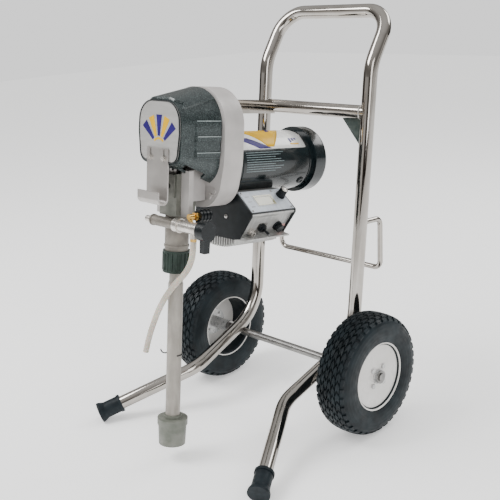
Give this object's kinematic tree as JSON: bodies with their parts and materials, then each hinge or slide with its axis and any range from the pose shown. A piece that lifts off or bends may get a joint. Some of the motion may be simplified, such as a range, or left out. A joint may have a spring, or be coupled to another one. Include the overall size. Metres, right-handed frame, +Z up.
{
  "type": "airless paint sprayer",
  "caption": "Electric airless paint sprayer hung on a chromed upright wheeled cart, with a siphon tube, drain hose, bucket hook and digital control box.",
  "frame": {"origin": "centre of the footprint of the whole object, on the floor", "axes": "+Z up, -Y towards the pump and siphon, +X towards the control panel's side"},
  "size_m": [0.579, 0.633, 0.9345],
  "materials": {
    "chromed_steel": "polished",
    "axle_steel": "satin",
    "grey_casting": "satin",
    "hammered_black": "textured",
    "plate_satin": "satin",
    "stainless_strap": "brushed",
    "motor_black": "gloss",
    "rubber_black": "matt",
    "tyre_black": "matt",
    "rim_white": "gloss",
    "brass_bright": "polished",
    "nickel_plated": "polished",
    "black_plastic": "satin",
    "hose_plastic": "translucent",
    "pump_steel": "matt",
    "nut_dark_green": "matt",
    "lcd_glass": "clear",
    "panel_silver": "satin",
    "switchgear_black": "gloss",
    "inner_steel": "machined",
    "board_green": "satin",
    "packing_white": "matt",
    "magnet_dark": "matt"
  },
  "bodies": {
    "cart": {"main_frame_tube": "chromed_steel", "cross_tube": "chromed_steel", "cross_gusset": "chromed_steel", "mounting_arm": "chromed_steel", "cord_wrap_rod": "chromed_steel", "axle": "axle_steel", "axle_washers": "axle_steel", "foot_caps": "rubber_black", "gear_housing": "grey_casting", "front_cover": "hammered_black", "front_plate": "plate_satin", "bucket_hook": "stainless_strap", "front_screws": "nickel_plated", "motor_end_bell": "grey_casting", "motor_can": "motor_black", "motor_rear_cap": "motor_black", "motor_magnets": "magnet_dark", "shaft_bearings": "inner_steel", "manifold": "pump_steel", "prime_valve_body": "nickel_plated", "pump_cylinder": "pump_steel", "pump_block": "pump_steel", "rod_packings": "packing_white", "inlet_seat": "inner_steel", "coupling_nut": "nut_dark_green", "siphon_tube": "pump_steel", "strainer": "pump_steel", "hose_outlet": "nickel_plated", "brass_fitting": "brass_bright", "pressure_transducer": "black_plastic", "drain_barb": "brass_bright", "drain_hose": "hose_plastic", "control_housing": "panel_silver", "control_end_plates": "switchgear_black", "control_panel": "panel_silver", "lcd_window": "lcd_glass", "toggle_body": "switchgear_black", "fuse_knob": "black_plastic", "cord_gland": "nickel_plated", "circuit_board": "board_green"},
    "left_wheel": {"tyre_left": "tyre_black", "rim_left": "rim_white", "hub_left": "nickel_plated", "hub_bolts_left": "nickel_plated"},
    "right_wheel": {"tyre_right": "tyre_black", "rim_right": "rim_white", "hub_right": "nickel_plated", "hub_bolts_right": "nickel_plated"},
    "crank": {"crank_gear": "inner_steel", "crankshaft": "inner_steel"},
    "layshaft_body": {"layshaft": "inner_steel"},
    "rotor": {"rotor_shaft": "inner_steel", "armature": "inner_steel"},
    "rod_body": {"connecting_rod": "inner_steel"},
    "piston": {"slider": "inner_steel", "piston_rod": "inner_steel"},
    "ball": {"inlet_ball": "inner_steel"},
    "prime_valve_knob": {"prime_knob": "black_plastic"},
    "pressure_control": {"pressure_knob": "black_plastic"},
    "power_switch": {"toggle_lever": "black_plastic"}
  },
  "joints": [
    {"name": "left_wheel_spin", "type": "hinge", "parent": "cart", "child": "left_wheel", "pos_m": [-0.2428, 0.09064, 0.1395], "axis": [1, 0, 0], "continuous": true},
    {"name": "right_wheel_spin", "type": "hinge", "parent": "cart", "child": "right_wheel", "pos_m": [0.2428, 0.09064, 0.1395], "axis": [1, 0, 0], "continuous": true},
    {"name": "crank_spin", "type": "hinge", "parent": "cart", "child": "crank", "pos_m": [0, -0.15296, 0.69995], "axis": [0, -0.992, 0.1265], "continuous": true},
    {"name": "layshaft_spin", "type": "hinge", "parent": "cart", "child": "layshaft_body", "pos_m": [0.03633, -0.13852, 0.65514], "axis": [0, -0.992, 0.1265], "continuous": true},
    {"name": "rotor_spin", "type": "hinge", "parent": "cart", "child": "rotor", "pos_m": [0, 0.00719, 0.61198], "axis": [0, -0.992, 0.1265], "continuous": true},
    {"name": "rod_big_end", "type": "hinge", "parent": "crank", "child": "rod_body", "pos_m": [0, -0.2037, 0.69735], "axis": [0, -0.992, 0.1265], "continuous": true},
    {"name": "piston_stroke", "type": "slide", "parent": "cart", "child": "piston", "axis": [0, 0.1265, 0.992], "range_m": [0, 0.018]},
    {"name": "inlet_ball_lift", "type": "slide", "parent": "cart", "child": "ball", "axis": [0, 0.1265, 0.992], "range_m": [0, 0.003]},
    {"name": "prime_knob_turn", "type": "hinge", "parent": "cart", "child": "prime_valve_knob", "pos_m": [0.115, -0.25337, 0.52928], "axis": [-1, 0, 0], "range_deg": [0, 90]},
    {"name": "pressure_knob_turn", "type": "hinge", "parent": "cart", "child": "pressure_control", "pos_m": [0.07822, 0.00249, 0.54356], "axis": [0.6386, 0.0974, 0.7634], "range_deg": [-135, 135]},
    {"name": "toggle_flip", "type": "hinge", "parent": "cart", "child": "power_switch", "pos_m": [0.0865, -0.06497, 0.48886], "axis": [0.5408, 0.1064, 0.8344], "range_deg": [-14.5, 0]}
  ],
  "couplings": [
    {"joint": "layshaft_spin", "follows": "crank_spin", "ratio": -3},
    {"joint": "rotor_spin", "follows": "crank_spin", "ratio": 12},
    {"joint": "rod_big_end", "follows": "crank_spin", "ratio": -1}
  ]
}
